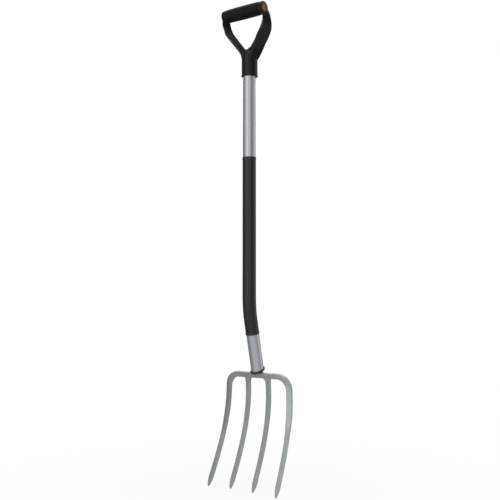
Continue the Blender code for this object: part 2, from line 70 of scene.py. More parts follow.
tube_low, tube_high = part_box("shaft_tube")
plug_low, plug_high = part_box("shaft_top_plug")
TUBE_RADIUS = (tube_high.x - tube_low.x) / 2
TUBE_WALL = 0.0016
TUBE_BORE = TUBE_RADIUS - TUBE_WALL
GAP = 0.0003  # the clearance where two pieces meet
SHAFT_Y = (plug_low.y + plug_high.y) / 2
BEND_Z = 0.441
BEND_ANGLE = radians(12.5)
BEND_RADIUS = 0.280
FOOT_Z = 0.2890
FOOT_SLANT = radians(13)


def mesh_of(name, lay, faces, bend=None, crease=35):
    """A piece from its points and faces. The finish can read where each point lies before the bend."""
    data = bpy.data.meshes.new(name)
    data.from_pydata([bend(point) if bend else point for point in lay], [], faces)
    straight = data.attributes.new("lay", "FLOAT_VECTOR", "POINT")
    straight.data.foreach_set("vector", [value for point in lay for value in point])
    shell = bmesh.new()
    shell.from_mesh(data)
    bmesh.ops.recalc_face_normals(shell, faces=shell.faces)
    shell.to_mesh(data)
    shell.free()
    data.shade_smooth()
    data.set_sharp_from_angle(angle=radians(crease))
    piece = bpy.data.objects.new(name, data)
    bpy.context.scene.collection.objects.link(piece)
    return piece


def skin(name, rings, bend=None, closed=False, crease=35):
    """A piece over rings of points: capped at both ends, or closed round on itself."""
    count = len(rings[0])
    faces = []
    for row in range(len(rings) if closed else len(rings) - 1):
        low = row * count
        high = (row + 1) % len(rings) * count
        for k in range(count):
            following = (k + 1) % count
            faces.append((low + k, low + following, high + following, high + k))
    if not closed:
        faces.append(range(count))
        faces.append(range(len(rings) * count - count, len(rings) * count))
    return mesh_of(name, [point for ring in rings for point in ring], faces, bend, crease)


def round_ring(radius, height, slant=0, sides=72):
    """A level circle round the shaft's straight axis. A slant lifts its back and drops its front."""
    ring = []
    for k in range(sides):
        turn = 2 * pi * k / sides
        lift = radius * sin(turn) * tan(slant) * cos(BEND_ANGLE)
        ring.append(Vector((radius * cos(turn), radius * sin(turn), height + lift)))
    return ring


def bend_shaft(point):
    """Where a point of the straight shaft lies on the bent one."""
    half = BEND_RADIUS * tan(BEND_ANGLE / 2)
    arc_top = BEND_Z + half
    if point.z >= arc_top:
        lean = 0
        back = 0
    elif point.z > BEND_Z - half * cos(BEND_ANGLE):
        lean = asin((arc_top - point.z) / BEND_RADIUS)
        back = BEND_RADIUS * (1 - cos(lean))
    else:
        lean = BEND_ANGLE
        back = (BEND_Z - point.z) * tan(BEND_ANGLE)
    return Vector((point.x, SHAFT_Y + back + point.y * cos(lean), point.z + point.y * sin(lean)))


class Shade:
    """An output in a material's nodes. Arithmetic on it with numbers or others adds Math nodes."""

    def __init__(self, tree, socket=None):
        self.tree = tree
        self.socket = socket

    def node(self, kind, settings=None, inputs=None, out=0):
        """Adds a node: first its settings, then a value or a link for each input."""
        made = self.tree.nodes.new(kind)
        for key, value in (settings or {}).items():
            setattr(made, key, value)
        for key, value in (inputs or {}).items():
            if isinstance(value, Shade):
                self.tree.links.new(value.socket, made.inputs[key])
            else:
                made.inputs[key].default_value = value
        return Shade(self.tree, made.outputs[out])

    def maths(self, operation, first, second):
        return self.node("ShaderNodeMath", {"operation": operation}, {0: first, 1: second})

    def __add__(self, other):
        return self.maths("ADD", self, other)

    def __sub__(self, other):
        return self.maths("SUBTRACT", self, other)

    def __rsub__(self, other):
        return self.maths("SUBTRACT", other, self)

    def __mul__(self, other):
        return self.maths("MULTIPLY", self, other)

    def __pow__(self, other):
        return self.maths("POWER", self, other)

    __radd__ = __add__
    __rmul__ = __mul__

    def place(self, stretch=(1, 1, 1)):
        """Where the surface lies on the straight piece, in metres, stretched along its axes."""
        lay = self.node("ShaderNodeAttribute", {"attribute_name": "lay"}, None, "Vector")
        return self.node("ShaderNodeMapping", None, {"Vector": lay, "Scale": stretch})

    def noise(self, size, stretch=(1, 1, 1), detail=2.0):
        """Cloudy noise from 0 to 1 with blotches of about that size, in metres."""
        inputs = {"Vector": self.place(stretch), "Scale": 1 / size, "Detail": detail}
        return self.node("ShaderNodeTexNoise", None, inputs, "Fac")

    def between(self, low, high):
        """0 below the low value, 1 above the high one and a soft step in between."""
        inputs = {"Value": self, "From Min": low, "From Max": high}
        return self.node("ShaderNodeMapRange", {"interpolation_type": "SMOOTHSTEP"}, inputs)

    def blend(self, first, second):
        """The first colour where this is 0 and the second where it is 1."""
        colours = {0: self, 6: first, 7: second}
        return self.node("ShaderNodeMix", {"data_type": "RGBA"}, colours, 2)

    def bump(self, depth, strength=1.0):
        """A surface normal for relief of this height, where a value of 1 stands depth metres proud."""
        return self.node("ShaderNodeBump", None, {"Height": self, "Distance": depth, "Strength": strength})


def finish(name, make):
    """A material. make(shade) gives the values and links of the Principled node's inputs."""
    made = bpy.data.materials.new(name)
    made.use_nodes = True
    principled = made.node_tree.nodes["Principled BSDF"]
    for key, value in make(Shade(made.node_tree)).items():
        if isinstance(value, Shade):
            made.node_tree.links.new(value.socket, principled.inputs[key])
        else:
            principled.inputs[key].default_value = value
    return made


def put(piece, material, slot, *nodes):
    """Gives a finished piece its material and its place in the frame."""
    piece.data.materials.clear()
    piece.data.materials.append(material)
    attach(piece, "root")
    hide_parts(*nodes)


def satin_aluminium(shade):
    die_lines = shade.noise(0.0009, (1, 1, 0.004), 3.0)
    clouds = shade.noise(0.045, (1, 1, 0.35), 2.0)
    specks = shade.noise(0.0006, (1, 1, 0.5), 1.0)
    tone = die_lines * 0.55 + clouds * 0.45
    return {
        "Base Color": tone.between(0.25, 0.75).blend((0.56, 0.585, 0.61, 1), (0.64, 0.665, 0.69, 1)),
        "Metallic": 0.85,
        "Roughness": die_lines * 0.10 + specks * 0.05 + 0.30,
        "Normal": (die_lines + specks * 0.35).bump(0.00003, 0.7),
    }


EDGE = 0.0004  # the bevel at a cut end
# Rows lie close together round the bend and far apart on the straight part above it.
heights = [0.300 + 0.004 * k for k in range(62)] + [0.60, 0.70, 0.80, 0.90, 1.00, tube_high.z - EDGE]
rings = [
    round_ring(TUBE_BORE + EDGE, FOOT_Z, FOOT_SLANT),
    round_ring(TUBE_RADIUS - EDGE, FOOT_Z, FOOT_SLANT),
    round_ring(TUBE_RADIUS, FOOT_Z + EDGE, FOOT_SLANT),
]
rings += [round_ring(TUBE_RADIUS, height) for height in heights]
rings += [round_ring(TUBE_RADIUS - EDGE, tube_high.z), round_ring(TUBE_BORE + EDGE, tube_high.z)]
rings += [round_ring(TUBE_BORE, height) for height in heights[::-1]]
rings += [round_ring(TUBE_BORE, FOOT_Z + EDGE, FOOT_SLANT)]
tube = skin("shaft_tube_drawn", rings, bend_shaft, closed=True)
put(tube, finish("satin_aluminium", satin_aluminium), "anodised_tube", "shaft_tube")

# The plug that closes the tube's top is sealed inside the socket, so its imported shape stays.


def moulded_nylon(shade):
    grain = shade.noise(0.00045, (1, 1, 1), 2.0)
    flow = shade.noise(0.006, (1, 1, 0.18), 3.0)
    rub = shade.noise(0.03, (1, 1, 1), 2.0)
    worn = (flow * 0.6 + rub * 0.4).between(0.35, 0.70)
    return {
        "Base Color": worn.blend((0.0038, 0.0040, 0.0045, 1), (0.0085, 0.0088, 0.0096, 1)),
        "Roughness": grain * 0.10 + flow * 0.14 + 0.20,
        "Specular IOR Level": 0.33,
        "Normal": (grain + flow * 0.6).bump(0.00007, 0.6),
    }


nylon = finish("moulded_black_nylon", moulded_nylon)
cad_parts["shaft_top_plug"].data.materials.clear()
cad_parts["shaft_top_plug"].data.materials.append(nylon)

# ---- Shaft sleeve and its two collars ----------------------------------------------------------
# A long charcoal plastic sleeve, warm and dry to hold, drawn over the middle of the shaft past the
# bend. A collar with a rounded end finishes it at the top and at the bottom.

sleeve_low, sleeve_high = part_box("shaft_sleeve")
SLEEVE_RADIUS = (sleeve_high.x - sleeve_low.x) / 2
SLEEVE_BORE = TUBE_RADIUS + GAP
SLEEVE_TOP = 0.8205
SLEEVE_BOTTOM = 0.379
COLLAR_HEIGHT = 0.005
COLLAR_GAP = 0.0004
BEND_ROWS_END = 0.57


def charcoal_sleeve(shade):
    grain = shade.noise(0.0005, (1, 1, 0.6), 2.0)
    draw_lines = shade.noise(0.0016, (1, 1, 0.006), 3.0)
    hand_wear = shade.noise(0.05, (1, 1, 0.3), 2.0)
    tone = (draw_lines * 0.5 + hand_wear * 0.5).between(0.3, 0.7)
    return {
        "Base Color": tone.blend((0.0115, 0.0125, 0.0135, 1), (0.0185, 0.0195, 0.021, 1)),
        "Roughness": grain * 0.10 + hand_wear * 0.08 + 0.26,
        "IOR": 1.5,
        "Normal": (grain * 0.7 + draw_lines).bump(0.00005, 0.6),
    }


charcoal = finish("charcoal_sleeve_plastic", charcoal_sleeve)
low = SLEEVE_BOTTOM + COLLAR_HEIGHT + COLLAR_GAP
high = SLEEVE_TOP - COLLAR_HEIGHT - COLLAR_GAP
heights = [low + EDGE + (BEND_ROWS_END - low) * k / 46 for k in range(47)] + [0.65, 0.73, high - EDGE]
rings = [round_ring(SLEEVE_BORE, low), round_ring(SLEEVE_RADIUS - EDGE, low)]
rings += [round_ring(SLEEVE_RADIUS, height) for height in heights]
rings += [round_ring(SLEEVE_RADIUS - EDGE, high), round_ring(SLEEVE_BORE, high)]
rings += [round_ring(SLEEVE_BORE, height) for height in heights[::-1]]
sleeve = skin("shaft_sleeve_moulded", rings, bend_shaft, closed=True)
put(sleeve, charcoal, "sleeve_plastic", "shaft_sleeve")

# Distance from a collar's inner end, and how far it stands out from the sleeve's bore.
COLLAR_PROFILE = [
    (0, 0.0), (0, 0.0007), (0.0002, 0.0011), (0.0006, 0.0012), (0.0011, 0.0012), (0.0014, 0.0009),
    (0.0017, 0.0009), (0.0020, 0.0012), (0.0034, 0.0012), (0.0041, 0.0010), (0.0046, 0.0007),
    (0.0049, 0.0004), (0.0050, 0.0),
]
for place, end, outward in (("top", SLEEVE_TOP, 1), ("bottom", SLEEVE_BOTTOM, -1)):
    inside = end - outward * COLLAR_HEIGHT
    upright = cos(BEND_ANGLE) if outward < 0 else 1
    rings = [round_ring(SLEEVE_BORE + out, inside + outward * up * upright) for up, out in COLLAR_PROFILE]
    collar = skin(f"sleeve_{place}_collar_moulded", rings, bend_shaft, closed=True)
    put(collar, charcoal, "sleeve_plastic", f"sleeve_{place}_collar")

# ---- Foot ring ---------------------------------------------------------------------------------
# A soft black rubber ring that cups the slanted end of the tube and keeps soil out of the joint
# with the steel stub.


def seal_rubber(shade):
    grain = shade.noise(0.0004, (1, 1, 1), 2.0)
    dust = shade.noise(0.007, (1, 1, 1), 3.0)
    return {
        "Base Color": dust.between(0.35, 0.75).blend((0.009, 0.0095, 0.0105, 1), (0.022, 0.023, 0.024, 1)),
        "Roughness": grain * 0.2 + 0.42,
        "Normal": (grain + dust * 0.5).bump(0.00006, 0.6),
    }


RING_OUTSIDE = TUBE_RADIUS + 0.0027
# Height above the tube's end, and radius.
RING_PROFILE = [
    (0.0031, TUBE_RADIUS + 0.0004), (0.0033, TUBE_RADIUS + 0.0009), (0.0031, TUBE_RADIUS + 0.0015),
    (0.0024, RING_OUTSIDE - 0.0006), (0.0014, RING_OUTSIDE - 0.0002), (0.0004, RING_OUTSIDE),
    (-0.0006, RING_OUTSIDE - 0.0001), (-0.0013, RING_OUTSIDE - 0.0006), (-0.0017, RING_OUTSIDE - 0.0013),
    (-0.0018, RING_OUTSIDE - 0.0022), (-0.0018, TUBE_BORE + 0.0006), (-0.0014, TUBE_BORE + 0.0001),
    (-0.0005, TUBE_BORE + 0.0001), (-0.0003, TUBE_BORE + 0.0003), (-0.0003, TUBE_RADIUS + GAP),
]
rings = [round_ring(radius, FOOT_Z + up * cos(BEND_ANGLE), FOOT_SLANT) for up, radius in RING_PROFILE]
foot_ring = skin("foot_ring_rubber", rings, bend_shaft, closed=True)
put(foot_ring, finish("seal_rubber", seal_rubber), "seal_rubber", "foot_seal")

# ---- Middle bar and inner tines ----------------------------------------------------------------
# One steel forging: a flat bar under the shaft with a tine drawn down at each end, swept forward
# and pointed. All the steel of the head is blasted and has a thin grey lacquer.

BAR_Z = 0.2765
BAR_Y = 0.034
BAR_HEIGHT = 0.0132
BAR_DEPTH = 0.0095
TINE_LENGTH = 0.2884
TINE_WIDTH = 0.0105
TINE_DEPTH = 0.008
LEAN_TOP = radians(-9.5)
SWEEP = radians(34.5)
PITCH_TOP = 0.0622
PITCH_TIP = 0.0697
SEAM_X = 0.0396
POINT_LENGTH = 0.022
POINT_KEEPS = 0.1  # the share of the tine's depth that doesn't taper with its width
# How far along the point, and what is left of the tine's width there, both as shares.
POINT_TAPER = ((0.06, 0.99), (0.16, 0.95), (0.5, 0.76), (0.86, 0.47), (0.96, 0.34), (1, 0.20))


def bend_head(point):
    """Where a point of the flat head (x, out to the back, down the tine) lies on the swept one."""
    y = SHAFT_Y + BAR_Y
    z = BAR_Z
    steps = 24
    for k in range(steps):
        left = 1 - max(point.z * (k + 0.5) / steps, 0) / TINE_LENGTH
        lean = LEAN_TOP + SWEEP * (1 - left * left)
        y -= sin(lean) * point.z / steps
        z -= cos(lean) * point.z / steps
    left = 1 - max(point.z, 0) / TINE_LENGTH
    lean = LEAN_TOP + SWEEP * (1 - left * left)
    return Vector((point.x, y + point.y * cos(lean), z - point.y * sin(lean)))


def ease(value, low, high):
    """0 below the low value, 1 above the high one and a soft step in between."""
    t = min(max((value - low) / (high - low), 0), 1)
    return t * t * (3 - 2 * t)


def tine_x(order, down):
    """Where a tine's middle line lies across the head; order counts pitches from the middle."""
    return order * (PITCH_TOP + (PITCH_TIP - PITCH_TOP) * down / TINE_LENGTH)


# Points round a bar's section: across its face from -1 to 1, and through its depth from -1 to 1.
FACE = (-1, -0.72, -0.36, 0, 0.36, 0.72, 1)
THROUGH = (-0.62, 0, 0.62)
SECTION = [(a, -1) for a in FACE] + [(1, b) for b in THROUGH]
SECTION += [(a, 1) for a in FACE[::-1]] + [(-1, b) for b in THROUGH[::-1]]


def tine_ring(x, down, width, depth, heading=0, twist=0, flare=(0, 0)):
    """A section square to a tine that runs along heading in the head's surface."""
    ring = []
    for across, through in SECTION:
        wide = across * width / 2 + (across < 0) * across * flare[0] + (across > 0) * across * flare[1]
        out = through * depth / 2
        wide, out = wide * cos(twist) - out * sin(twist), wide * sin(twist) + out * cos(twist)
        ring.append(Vector((x + wide * cos(heading), out, down - wide * sin(heading))))
    return ring


def point_rings(order, length, side=1):
    """The last of a tine, drawn to a blunt point with four flat faces."""
    rings = []
    start = length - POINT_LENGTH
    for share, scale in POINT_TAPER:
        down = start + share * POINT_LENGTH
        width = TINE_WIDTH * scale
        depth = TINE_DEPTH * (POINT_KEEPS + (1 - POINT_KEEPS) * scale)
        rings.append(tine_ring(tine_x(order, down), down, side * width, depth))
    return rings


def smooth_steel(piece):
    """Two rounds of subdivision turn the coarse shape into a forging with soft edges."""
    rounds = piece.modifiers.new("forged_edges", "SUBSURF")
    rounds.levels = 2
    rounds.render_levels = 2


def lacquered_steel(dark, light):
    def surface(shade):
        pits = shade.noise(0.0007, (1, 1, 0.8), 3.0)
        hammer = shade.noise(0.006, (1, 1, 0.45), 2.0)
        scale = shade.noise(0.022, (1, 1, 0.5), 4.0)
        scratch = shade.noise(0.0012, (1, 1, 0.03), 3.0).between(0.62, 0.78)
        tone = (scale * 0.55 + hammer * 0.3 + pits * 0.15).between(0.30, 0.70)
        return {
            "Base Color": (scratch * 0.35).blend(tone.blend(dark, light), (0.66, 0.68, 0.69, 1)),
            "Metallic": 0.60,
            "Roughness": pits * 0.12 + scale * 0.10 + 0.36,
            "Coat Weight": scale * 0.2 + 0.05,
            "Coat Roughness": 0.3,
            "Normal": (hammer * 1.6 + pits * 0.4 + scratch * 0.2).bump(0.00012, 0.5),
        }

    return surface


steel = finish("lacquered_forged_steel", lacquered_steel((0.375, 0.407, 0.412, 1), (0.475, 0.508, 0.514, 1)))

# A tine's root spreads this far into the bar towards the middle, and stops this far from its end.
ROOT_INNER = 0.0074
ROOT_OUTER = 0.0012
SEAM_HALF_GAP = 0.0005
# The bar's top rolls down by this much over its last stretch before the seam.
ROLL_DROP = 0.0021
ROLL_LENGTH = 0.008
ROOT_LENGTH = 0.020
ROOT_GROWTH = 0.0006
UPPER_GROWTH = 0.0012
# Distance down the tine, and how far its root spreads there on its inner and its outer side.
ROOT_SPREAD = (
    (0.0085, 0.0042, 0.0017), (0.0110, 0.0021, 0.0013), (0.0150, 0.0008, 0.0008), (0.0200, 0.0003, 0.0003),
)

bar_faces = []
bar_points = []
half = BAR_HEIGHT / 2
ROWS = (-1, -0.62, 0, 0.62, 1)
UPRIGHT = (0.42, -0.02, -0.46)
ROUND_BAR = [(row, 1) for row in ROWS] + [(1, up) for up in UPRIGHT]
ROUND_BAR += [(row, -1) for row in ROWS[::-1]] + [(-1, up) for up in UPRIGHT[::-1]]
centre = tine_x(0.5, half)
root_low = centre - TINE_WIDTH / 2 - ROOT_INNER
root_high = SEAM_X - ROOT_OUTER
root = [root_low + (root_high - root_low) * (face + 1) / 2 for face in FACE]
stations = [0, 0.007, 0.014] + root + [SEAM_X - SEAM_HALF_GAP]
stations = [-x for x in stations[:0:-1]] + stations
for x in stations:
    reach = max(abs(x) - SEAM_X + ROLL_LENGTH, 0) / ROLL_LENGTH
    drop = ROLL_DROP * (1 - (1 - reach * reach) ** 0.5)
    for out, up in ROUND_BAR:
        bar_points.append(Vector((x, out * BAR_DEPTH / 2, up * half + drop * (up < -0.3))))
size = len(ROUND_BAR)
for row in range(len(stations) - 1):
    middle = (stations[row] + stations[row + 1]) / 2
    for k in range(size):
        # The bar's underside stays open where a tine grows out of it.
        if k < 4 and root_low < abs(middle) < root_high:
            continue
        following = (k + 1) % size
        first = row * size
        bar_faces.append((first + k, first + following, first + size + following, first + size + k))
bar_faces.append(range(size))
bar_faces.append(range(len(bar_points) - size, len(bar_points)))

inner_length = TINE_LENGTH - 0.0025
for side in (-1, 1):
    found = [row for row, x in enumerate(stations) if root_low - 1e-6 < side * x < root_high + 1e-6]
    found = found[::side]
    mouth = [row * size for row in found]
    mouth += [found[-1] * size + k for k in (1, 2, 3)]
    mouth += [row * size + 4 for row in found[::-1]]
    mouth += [found[0] * size + k for k in (3, 2, 1)]
    rings = []
    for down, inner, outer in ROOT_SPREAD:
        width = side * (TINE_WIDTH + ROOT_GROWTH)
        rings.append(tine_ring(tine_x(side * 0.5, down), down, width, TINE_DEPTH + ROOT_GROWTH, 0, 0,
                               (side * inner, side * outer)))
    for k in range(1, 17):
        down = ROOT_LENGTH + (inner_length - POINT_LENGTH - ROOT_LENGTH) * k / 16
        width = TINE_WIDTH + UPPER_GROWTH * (1 - ease(down, 0.050, 0.140))
        rings.append(tine_ring(tine_x(side * 0.5, down), down, side * width, TINE_DEPTH))
    rings += point_rings(side * 0.5, inner_length, side)
    above = mouth
    for ring in rings:
        below = list(range(len(bar_points), len(bar_points) + len(ring)))
        bar_points += ring
        for k in range(len(ring)):
            following = (k + 1) % len(ring)
            bar_faces.append((above[k], above[following], below[following], below[k]))
        above = below
    bar_faces.append(above)
inner_tines = mesh_of("inner_tines_forged", bar_points, bar_faces, bend_head, 180)
smooth_steel(inner_tines)
put(inner_tines, steel, "forged_steel", "inner_tine_pair")

# ---- Outer tines -------------------------------------------------------------------------------
# Each is a flat bar butted to the middle one, bent down over the shoulder that a boot presses, where
# it turns a little on its own axis, then swept and pointed like the others.

SHOULDER_RADIUS = 0.033
SHOULDER_WIDTH = 0.0143
SHOULDER_TWIST = radians(17)
SHOULDER_SWELL = 0.0010
SHOULDER_EXTRA_DEPTH = 0.0004
# Distance out from the seam, how much the section shrinks there, and how far its top edge drops.
SEAM_END = (
    (0.0003, 0.0009, 0.0013), (0.0009, 0.0002, 0.0009), (0.0028, 0, 0.0003), (0.0065, 0, 0), (0.0120, 0, 0),
)

# The right tine gets a lighter, bluer copy of the head's lacquer: painted light, for the light that falls
# more on that tine than on the rest of the head.
painted_light_steel = finish("painted_light_forged_steel", lacquered_steel((0.44, 0.475, 0.495, 1), (0.56, 0.595, 0.62, 1)))
for place, side, lacquer_and_painted_light in (("left", -1, steel), ("right", 1, painted_light_steel)):
    start = tine_x(1.5, SHOULDER_RADIUS) - SHOULDER_RADIUS
    rings = []
    for along, shrink, drop in SEAM_END:
        width = side * (BAR_HEIGHT - 2 * shrink)
        rings.append(tine_ring(side * (SEAM_X + along), 0, width, BAR_DEPTH - 2 * shrink, side * pi / 2, 0,
                               (0, -side * drop)))
    for k in range(13):
        turn = pi / 2 * k / 12
        x = start + SHOULDER_RADIUS * sin(turn)
        down = SHOULDER_RADIUS * (1 - cos(turn))
        depth = BAR_DEPTH + (TINE_DEPTH + SHOULDER_EXTRA_DEPTH - BAR_DEPTH) * k / 12
        twist = side * SHOULDER_TWIST * ease(turn, pi / 4, pi / 2)
        width = BAR_HEIGHT + (SHOULDER_WIDTH - BAR_HEIGHT) * k / 12 + SHOULDER_SWELL * sin(2 * turn)
        rings.append(tine_ring(side * x, down, side * width, depth, side * (pi / 2 - turn), twist))
    for k in range(1, 18):
        down = SHOULDER_RADIUS + (TINE_LENGTH - POINT_LENGTH - SHOULDER_RADIUS) * k / 17
        width = SHOULDER_WIDTH + (TINE_WIDTH - SHOULDER_WIDTH) * ease(down, 0.095, 0.150)
        depth = TINE_DEPTH + SHOULDER_EXTRA_DEPTH * (1 - ease(down, 0.06, 0.15))
        twist = side * SHOULDER_TWIST * (1 - ease(down, 0.095, 0.155))
        rings.append(tine_ring(tine_x(side * 1.5, down), down, side * width, depth, 0, twist))
    rings += point_rings(side * 1.5, TINE_LENGTH, side)
    tine = skin(f"outer_tine_{place}_forged", rings, bend_head, crease=180)
    smooth_steel(tine)
    put(tine, lacquer_and_painted_light, "forged_steel", f"outer_tine_{place}")

# ---- Shoulder welds ----------------------------------------------------------------------------
# A bead all round each butt joint between the bars, laid in short overlapping ripples and lacquered
# over with the rest of the head.


def weld_metal(shade):
    heat = shade.noise(0.003, (1, 1, 1), 3.0)
    pits = shade.noise(0.0006, (1, 1, 1), 2.0)
    return {
        "Base Color": heat.between(0.3, 0.7).blend((0.28, 0.30, 0.307, 1), (0.38, 0.405, 0.412, 1)),
        "Metallic": 0.5,
        "Roughness": pits * 0.2 + 0.30,
        "Normal": (pits + heat).bump(0.0001, 0.5),
    }


def rounded(corners, radius, steps):
    """The outline of corner points with each corner rounded off."""
    points = []
    for index, corner in enumerate(corners):
        before = corners[index - 1] - corner
        after = corners[(index + 1) % len(corners)] - corner
        first = corner + before.normalized() * min(radius, 0.48 * before.length)
        last = corner + after.normalized() * min(radius, 0.48 * after.length)
        for step in range(steps):
            t = step / (steps - 1)
            points.append((1 - t) ** 2 * first + 2 * t * (1 - t) * corner + t * t * last)
    return points


weld = finish("weld_metal", weld_metal)
BEAD_ROUNDING = 0.0030
BEAD_TOP_DROP = 0.0016
RIPPLE_HEIGHT = 0.00012
RIPPLE_SWAY = 0.00035
# Distance along the bar from the seam, and how far the bead stands out from the bar there.
BEAD_PROFILE = (
    (-0.0022, -0.0003), (-0.0019, 0.00018), (-0.0012, 0.00052), (-0.0005, 0.00068), (0.0003, 0.00068),
    (0.0011, 0.00052), (0.0018, 0.00018), (0.0021, -0.0003), (0.0003, -0.0013), (-0.0003, -0.0013),
)
for place, side in (("left", -1), ("right", 1)):
    rings = []
    for along, grow in BEAD_PROFILE:
        half = BAR_HEIGHT / 2 + grow
        deep = BAR_DEPTH / 2 + grow
        crown = half - BEAD_TOP_DROP
        corners = [Vector((-deep, -crown, 0)), Vector((deep, -crown, 0)), Vector((deep, half, 0)),
                   Vector((-deep, half, 0))]
        ring = []
        for k, p in enumerate(rounded(corners, BEAD_ROUNDING, 15)):
            ripple = RIPPLE_HEIGHT * sin(k * 2 * pi / 3.75) * (grow > 0)
            shift = RIPPLE_SWAY * sin(k * 2 * pi / 7.5) * (grow > 0)
            scale = 1 + ripple / deep
            ring.append(Vector((side * (SEAM_X + along + shift), p.x * scale, p.y * scale)))
        rings.append(ring)
    bead = skin(f"shoulder_weld_{place}_bead", rings, bend_head, closed=True, crease=60)
    put(bead, weld, "weld_steel", f"shoulder_weld_{place}")

# ---- Steel stub and its welds ------------------------------------------------------------------
# A hollow steel stub stands on the middle bar, held by a short fillet weld at each side, and the
# tube slides over it. Only its foot shows, from below.

top = bend_head(Vector((0, 0, -BAR_HEIGHT / 2)))
STUB_RADIUS = TUBE_BORE - GAP
STUB_BEAD_FILL = 0.97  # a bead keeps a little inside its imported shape
STUB_BEAD_LIFT = 0.0002
stub_up = cos(BEND_ANGLE)
rings = []
for up, radius in (
    (0.0022, STUB_RADIUS - 0.0036), (0.0022, STUB_RADIUS - 0.0013), (0.0024, STUB_RADIUS - 0.0008),
    (0.0034, STUB_RADIUS - 0.0001), (0.0040, STUB_RADIUS), (0.0945, STUB_RADIUS),
    (0.0968, STUB_RADIUS - 0.0012), (0.0970, STUB_RADIUS - 0.0016), (0.0970, STUB_RADIUS - 0.0036),
):
    rings.append(round_ring(radius, top.z + up * stub_up))
stub = skin("head_stub_steel", rings, bend_shaft, closed=True)
put(stub, steel, "forged_steel", "socket_spigot")

for place, side in (("left", -1), ("right", 1)):
    low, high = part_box(f"spigot_weld_{place}")
    middle = (low + high) / 2
    reach = (high - low) / 2
    rings = []
    for k in range(15):
        t = 2 * k / 14 - 1
        swell = (1 - t * t) ** 0.5 * 0.35 + 0.62 + 0.05 * sin(k * 2.4)
        corners = []
        for a, b in ((-1, -1), (1, -1), (0.5, 0.1), (-1, 1)):
            x = middle.x + side * a * reach.x * (swell if a > 0 else 1) * STUB_BEAD_FILL
            y = middle.y + t * reach.y * STUB_BEAD_FILL
            z = middle.z + b * reach.z * 0.6 * swell + STUB_BEAD_LIFT + t * reach.y * sin(BEND_ANGLE)
            corners.append(Vector((x, y, z)))
        rings.append(rounded(corners, 0.0007, 5))
    bead = skin(f"stub_weld_{place}_bead", rings, crease=60)
    put(bead, weld, "weld_steel", f"spigot_weld_{place}")

# ---- Shaft rivet -------------------------------------------------------------------------------
# A blind rivet at the back of the shaft's foot, through the tube and the stub. Its domed head has
# the broken end of the pulled pin in the middle.


def bright_steel(shade):
    plating = shade.noise(0.0025, (1, 1, 1), 3.0)
    rub = shade.noise(0.0003, (1, 1, 1), 2.0)
    return {
        "Base Color": plating.between(0.3, 0.7).blend((0.42, 0.42, 0.41, 1), (0.58, 0.585, 0.59, 1)),
        "Metallic": 1.0,
        "Roughness": rub * 0.15 + 0.22,
        "Normal": rub.bump(0.00003, 0.5),
    }


def turned(name, start, axis, profile, sides=48, closed=False, crease=35):
    """A turned piece: the profile lists the distance along its axis and the radius there."""
    axis = axis.normalized()
    across = axis.orthogonal().normalized()
    up = axis.cross(across)
    rings = []
    for along, radius in profile:
        ring = []
        for k in range(sides):
            turn = 2 * pi * k / sides
            ring.append(start + along * axis + radius * (cos(turn) * across + sin(turn) * up))
        rings.append(ring)
    return skin(name, rings, None, closed, crease)


bright = finish("bright_plated_steel", bright_steel)
stub_axis = Vector((0, -sin(BEND_ANGLE), cos(BEND_ANGLE)))
foot = bend_shaft(Vector((0, 0, top.z)))
RIVET_UP = 0.045
start = foot + RIVET_UP * stub_axis
back = Vector((0, cos(BEND_ANGLE), sin(BEND_ANGLE)))
wall = TUBE_RADIUS + GAP
rivet = turned("shaft_rivet_domed", start, back, [
    (0.0062, 0.0012), (0.0072, 0.0030), (0.0094, 0.0031), (0.0098, 0.0022), (wall, 0.0022),
    (wall, 0.0043), (wall + 0.0003, 0.0045), (wall + 0.0006, 0.0043), (wall + 0.00095, 0.0036),
    (wall + 0.00115, 0.0026), (wall + 0.00115, 0.0016), (wall + 0.0006, 0.00145), (wall + 0.0006, 0.0011),
    (wall + 0.0009, 0.0010), (wall + 0.00105, 0.0006),
])
put(rivet, bright, "bright_steel", "spigot_rivet")

# ---- Handle frame ------------------------------------------------------------------------------
# One glass-filled nylon moulding: a socket that takes the tube, two legs that fork out of it, and a
# ring on top of each leg that holds the cross-grip.

SOCKET_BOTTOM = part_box("handle_frame")[0].z
SOCKET_RADIUS = 0.0203
SOCKET_BACK = 0.0014
grip_low, grip_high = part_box("grip_sleeve")
GRIP = (grip_low + grip_high) / 2
GRIP_HALF = (grip_high.x - grip_low.x) / 2
BOSS_END = 0.064
BOSS_RADIUS = 0.016
CORE_RADIUS = 0.010
CAP_RADIUS = 0.0105
CAP_SEAT = 0.0038
LEG_ROUNDING = 0.0036
# The crotch is a round hollow in a small web between the legs.
CROTCH_Z = 1.1002
CROTCH_RADIUS = 0.009
WEB_HALF_WIDTH = 0.0085
WEB_FRONT = -0.0128
WEB_BACK = -0.0030
WEB_BOTTOM = 1.076
WEB_ROUNDING = 0.0025
SOCKET_DOME = 0.0192
BORE_REACH = 0.006
SCREW_Z = 1.052
SCREW_SEAT_DEPTH = 0.0012

